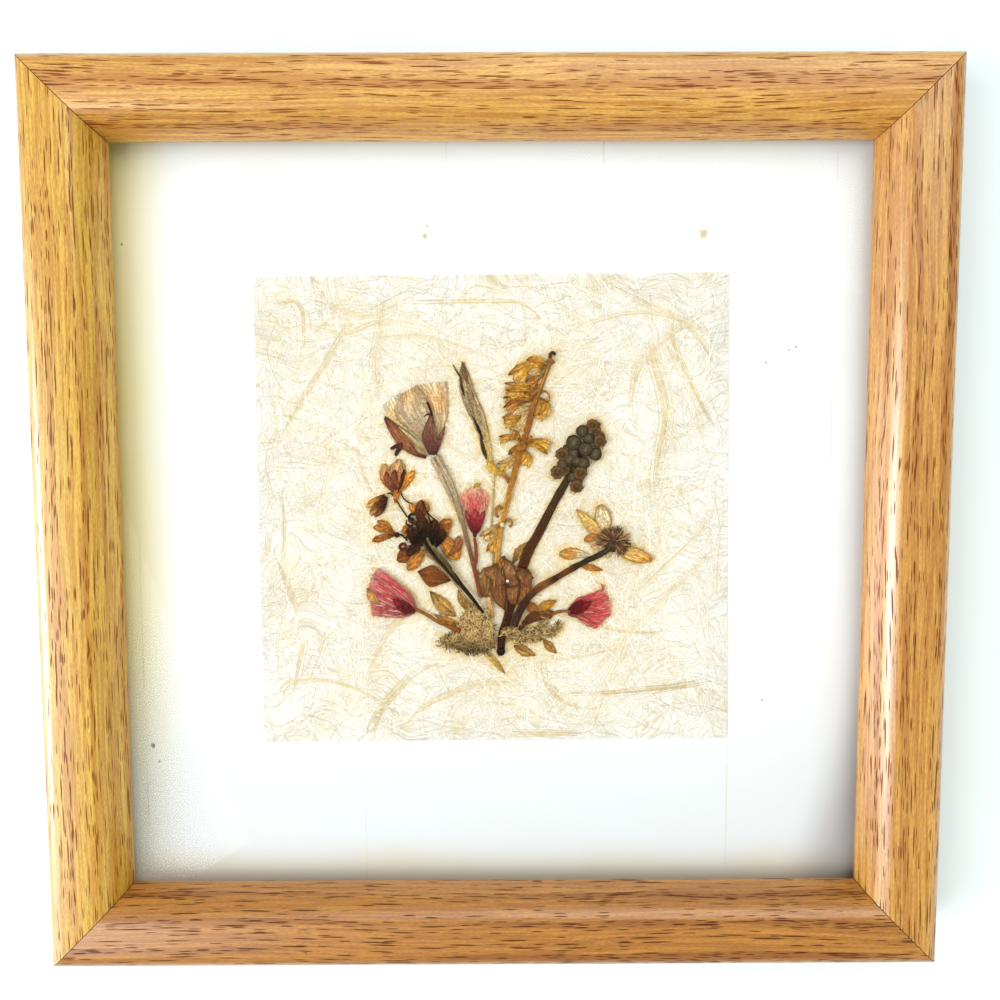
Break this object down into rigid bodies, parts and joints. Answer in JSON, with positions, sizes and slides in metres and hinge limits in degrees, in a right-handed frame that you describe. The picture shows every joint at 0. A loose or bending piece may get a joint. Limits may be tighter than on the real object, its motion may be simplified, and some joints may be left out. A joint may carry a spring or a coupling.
{
  "type": "pressed flower frame",
  "caption": "Small square oak frame with dried pressed flowers, leaves and moss on fibrous paper and a white card, under glass.",
  "frame": {"origin": "middle of the back, on the plane of the rails' back faces that the frame lies on", "axes": "+Z out of the front through the glass, +Y towards the top rail, +X towards the right rail as seen from the front"},
  "size_m": [0.2286, 0.2286, 0.022],
  "materials": {
    "oak": "clear satin varnish",
    "glass": "clear float glass",
    "card": "matte card",
    "mulberry_paper": "matte fibrous paper",
    "hardboard": "raw hardboard",
    "zinc_plate": "zinc plated",
    "faded_petal": "dry petal",
    "golden_petal": "dry petal",
    "pink_petal": "dry petal",
    "dark_floret": "dry floret",
    "brown_leaf": "dry leaf",
    "straw": "dry straw",
    "moss": "dry moss"
  },
  "bodies": {
    "root": {"rail_top": "oak", "rail_bottom": "oak", "rail_left": "oak", "rail_right": "oak", "glass": "glass", "mount_card": "card", "mulberry_paper": "mulberry_paper", "backing_board": "hardboard", "framers_point_top_1": "zinc_plate", "framers_point_top_2": "zinc_plate", "framers_point_bottom_1": "zinc_plate", "framers_point_bottom_2": "zinc_plate", "framers_point_left_1": "zinc_plate", "framers_point_left_2": "zinc_plate", "framers_point_right_1": "zinc_plate", "framers_point_right_2": "zinc_plate", "hanger_strap": "zinc_plate", "hanger_ring": "zinc_plate", "hanger_rivet_1": "zinc_plate", "hanger_rivet_2": "zinc_plate", "bell_flower": "faded_petal", "grass_spike": "straw", "golden_raceme": "golden_petal", "grape_hyacinth": "dark_floret", "daisy": "golden_petal", "loose_petal_1": "golden_petal", "loose_petal_2": "golden_petal", "pink_bud": "pink_petal", "pink_flower_left": "pink_petal", "pink_flower_right": "pink_petal", "seed_pods": "brown_leaf", "brown_spray": "brown_leaf", "brown_leaf_cluster": "brown_leaf", "forked_leaf": "brown_leaf", "golden_leaf": "brown_leaf", "side_leaf_1": "brown_leaf", "side_leaf_2": "brown_leaf", "side_leaf_3": "brown_leaf", "lower_leaf_1": "brown_leaf", "lower_leaf_2": "brown_leaf", "pale_stalk": "straw", "straw_blade": "straw", "moss_tuft": "moss", "moss_sprig": "moss"}
  },
  "joints": []
}
